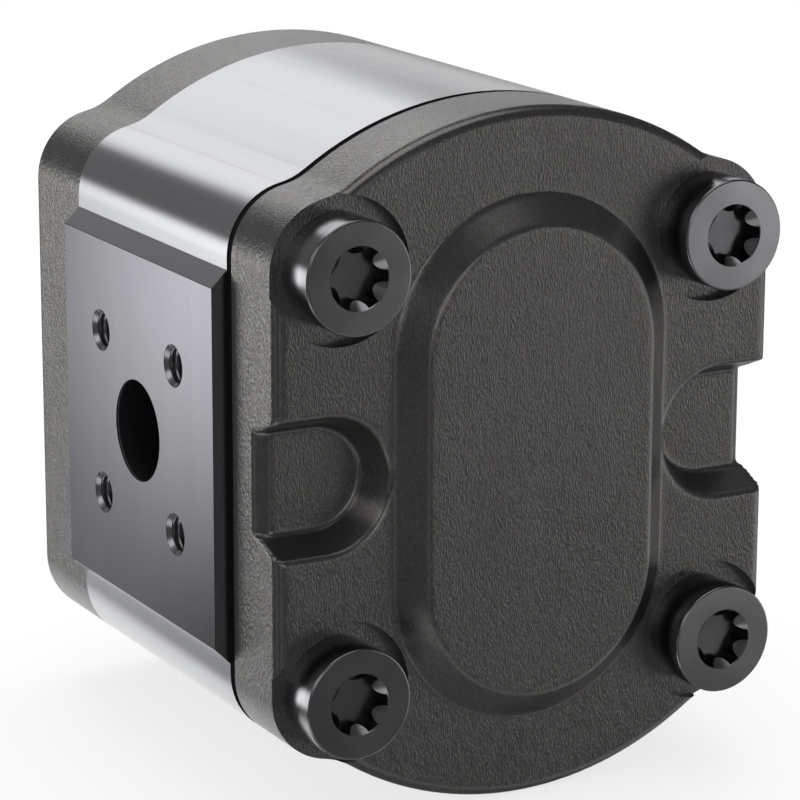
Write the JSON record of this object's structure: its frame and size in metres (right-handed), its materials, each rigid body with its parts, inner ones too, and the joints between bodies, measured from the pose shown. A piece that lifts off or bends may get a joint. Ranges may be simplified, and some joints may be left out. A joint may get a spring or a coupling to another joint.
{
  "type": "hydraulic gear pump",
  "caption": "External gear pump with a cast rear cover, an extruded body with side ports and a pilot mounting cover, two meshing gears inside.",
  "frame": {"origin": "on the drive shaft axis, at the mounting face of the front cover", "axes": "+Y along the drive shaft, out of the mounting face; +Z from the idler gear to the drive gear; +X towards the suction port"},
  "size_m": [0.0848, 0.1094, 0.1],
  "materials": {
    "cast_cover": "fine cast skin",
    "body_aluminium": "drawn satin",
    "block_aluminium": "machined",
    "screw_steel": "dark satin",
    "gear_steel": "ground",
    "spring_steel": "satin",
    "seal_steel": "pressed",
    "bush_metal": "satin",
    "black_gasket": "matte",
    "black_rubber": "semi-matte",
    "support_plastic": "matte"
  },
  "bodies": {
    "housing": {"rear_cover": "cast_cover", "front_cover": "cast_cover", "pump_body": "body_aluminium", "cover_screws": "screw_steel", "rear_gasket": "black_gasket", "front_body_seal": "black_rubber", "front_bearing_block": "block_aluminium", "rear_bearing_block": "block_aluminium", "drive_bush_front": "bush_metal", "drive_bush_rear": "bush_metal", "idler_bush_front": "bush_metal", "idler_bush_rear": "bush_metal", "front_axial_seal": "black_rubber", "rear_axial_seal": "black_rubber", "front_support_rings": "support_plastic", "rear_support_rings": "support_plastic", "shaft_seal_case": "seal_steel", "shaft_seal_lip": "black_rubber", "shaft_seal_spring": "spring_steel", "seal_circlip": "spring_steel", "pilot_o_ring": "black_rubber", "front_dowels": "spring_steel", "rear_dowels": "spring_steel"},
    "drive": {"drive_gear": "gear_steel"},
    "idler": {"idler_gear": "gear_steel"}
  },
  "joints": [
    {"name": "drive_spin", "type": "hinge", "parent": "housing", "child": "drive", "pos_m": [0, 0, 0], "axis": [0, 1, 0], "continuous": true},
    {"name": "idler_spin", "type": "hinge", "parent": "housing", "child": "idler", "pos_m": [0, 0, -0.032], "axis": [0, 1, 0], "continuous": true}
  ],
  "couplings": [
    {"joint": "idler_spin", "follows": "drive_spin", "ratio": -1}
  ]
}
